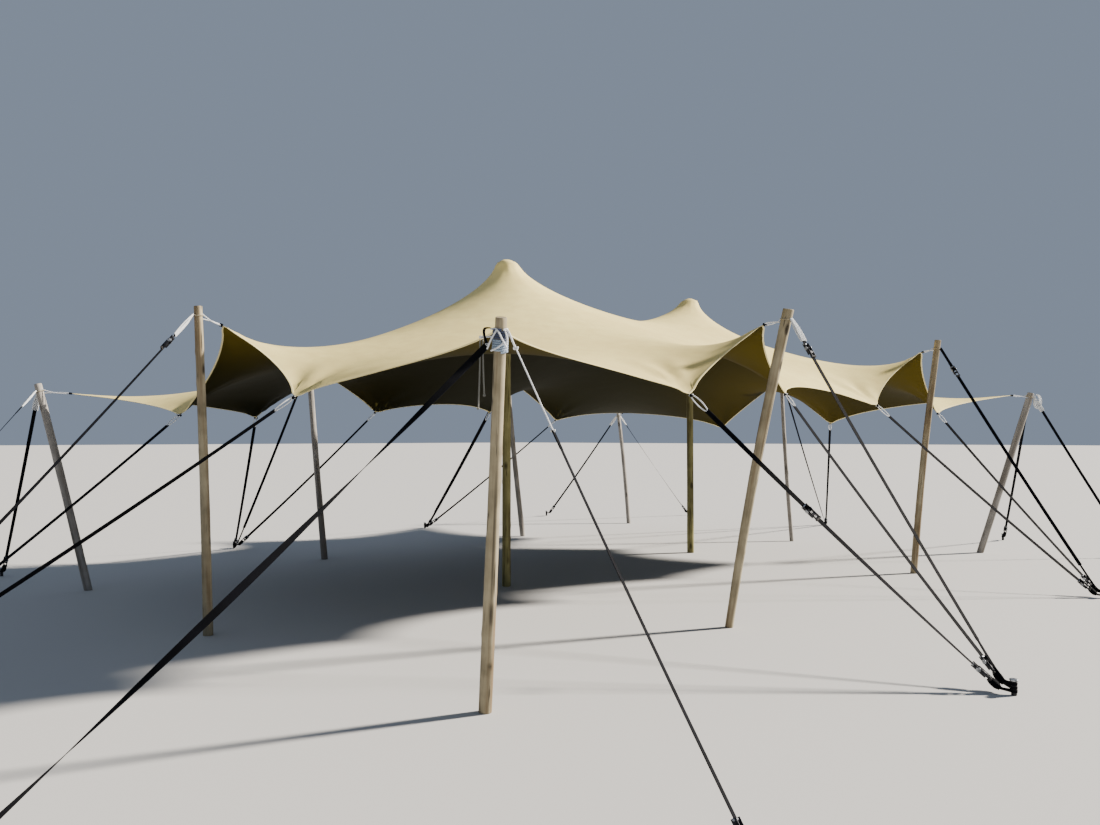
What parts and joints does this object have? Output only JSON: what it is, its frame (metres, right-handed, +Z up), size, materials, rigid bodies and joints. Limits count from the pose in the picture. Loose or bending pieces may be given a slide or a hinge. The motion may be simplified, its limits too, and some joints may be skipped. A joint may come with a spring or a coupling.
{
  "type": "stretch tent",
  "caption": "Stretch tent: one sheet of sand-coloured stretch cloth over king poles, held by leaning wooden edge poles and by webbing straps to ground pegs.",
  "frame": {"origin": "centre of the whole tent's plan, pegs included, at ground level", "axes": "+X along the tent's length, +Y from the front long side to the back one, +Z up"},
  "size_m": [14.101, 10.338, 3.572],
  "materials": {
    "cloth": "coated stretch cloth, sand outside and dark olive inside",
    "king_wood": "round peeled pole in shade",
    "cap_rubber": "moulded rubber pad",
    "tan_wood": "peeled round pole with knots and checks",
    "grey_wood": "weathered round pole with knots and checks",
    "rope": "braided white rope",
    "webbing": "woven black webbing with a ratchet",
    "peg_steel": "black painted steel peg"
  },
  "bodies": {
    "root": {"canopy": "cloth", "king_pole_left": "king_wood", "king_cap_left": "cap_rubber", "king_pole_right": "king_wood", "king_cap_right": "cap_rubber", "pole_front_left": "tan_wood", "lashing_front_left": "rope", "pole_front_a": "tan_wood", "lashing_front_a": "rope", "pole_front_b": "tan_wood", "lashing_front_b": "rope", "pole_front_right": "grey_wood", "lashing_front_right": "rope", "pole_right_mid": "grey_wood", "lashing_right_mid": "rope", "pole_back_right": "grey_wood", "lashing_back_right": "rope", "pole_back_b": "grey_wood", "lashing_back_b": "rope", "pole_back_a": "grey_wood", "lashing_back_a": "rope", "pole_back_left": "grey_wood", "lashing_back_left": "rope", "pole_left_mid": "tan_wood", "lashing_left_mid": "rope", "peg_front_a": "peg_steel", "guy_front_a": "webbing", "strap_front_1": "webbing", "strap_front_2": "webbing", "peg_front_b": "peg_steel", "guy_front_b": "webbing", "strap_front_3": "webbing", "strap_front_4": "webbing", "peg_right": "peg_steel", "guy_right_mid": "webbing", "strap_right_1": "webbing", "strap_right_2": "webbing", "peg_back_b": "peg_steel", "guy_back_b": "webbing", "strap_back_3": "webbing", "strap_back_4": "webbing", "peg_back_a": "peg_steel", "guy_back_a": "webbing", "strap_back_1": "webbing", "strap_back_2": "webbing", "peg_left": "peg_steel", "guy_left_mid": "webbing", "strap_left_1": "webbing", "strap_left_2": "webbing", "guy_front_left_1": "webbing", "guy_front_left_2": "webbing", "guy_front_right_1": "webbing", "guy_front_right_2": "webbing", "guy_back_right_1": "webbing", "guy_back_right_2": "webbing", "guy_back_left_1": "webbing", "guy_back_left_2": "webbing", "rope_tail_long": "rope", "rope_tail_short": "rope"}
  },
  "joints": []
}
